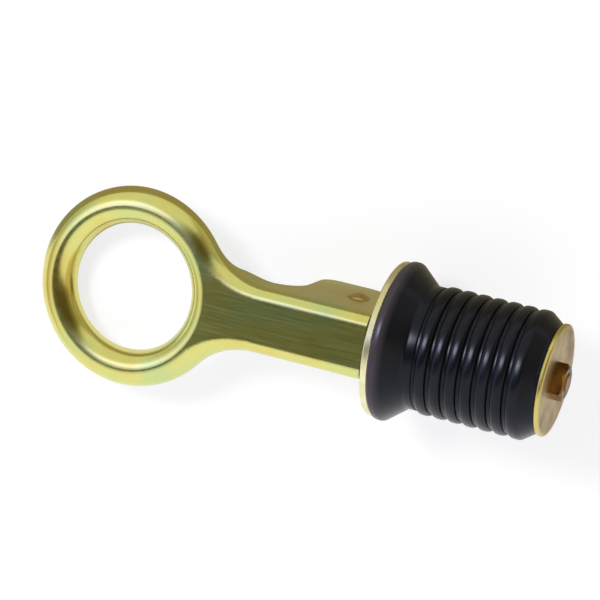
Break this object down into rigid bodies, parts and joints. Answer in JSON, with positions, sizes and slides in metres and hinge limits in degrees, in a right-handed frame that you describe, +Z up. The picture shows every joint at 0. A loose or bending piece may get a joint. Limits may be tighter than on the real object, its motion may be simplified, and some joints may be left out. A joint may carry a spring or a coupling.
{
  "type": "drain plug for boat",
  "caption": "Snap-handle drain plug: ribbed rubber body squeezed by a brass cam lever with a finger ring, lying at rest.",
  "frame": {"origin": "on the table that the plug lies on, below the middle of its bounding box", "axes": "+X along the table towards the nose of the plug, +Y along the rivet, +Z up; the stem's axis rises towards the nose by 17.80 degrees"},
  "size_m": [0.1046, 0.0392, 0.0353],
  "materials": {
    "stamped_brass": "polished",
    "washer_brass": "satin",
    "turned_brass": "satin",
    "moulded_rubber": "satin"
  },
  "bodies": {
    "plug": {"rubber_plug": "moulded_rubber", "cam_washer": "washer_brass"},
    "drawbar": {"stem": "turned_brass", "nose_washer": "washer_brass", "nose_nut": "turned_brass"},
    "lever": {"handle": "stamped_brass", "pivot_pin": "turned_brass"}
  },
  "joints": [
    {"name": "stem_draw", "type": "slide", "parent": "plug", "child": "drawbar", "axis": [-0.9522, 0, -0.3056], "range_m": [0, 0.00255], "deforming": ["rubber_plug"]},
    {"name": "handle_swing", "type": "hinge", "parent": "drawbar", "child": "lever", "pos_m": [0.00983, 0, 0.01212], "axis": [0, -1, 0], "range_deg": [0, 90]}
  ],
  "couplings": [
    {"joint": "stem_draw", "follows": "handle_swing", "m_per_rad": 0.0016234}
  ]
}
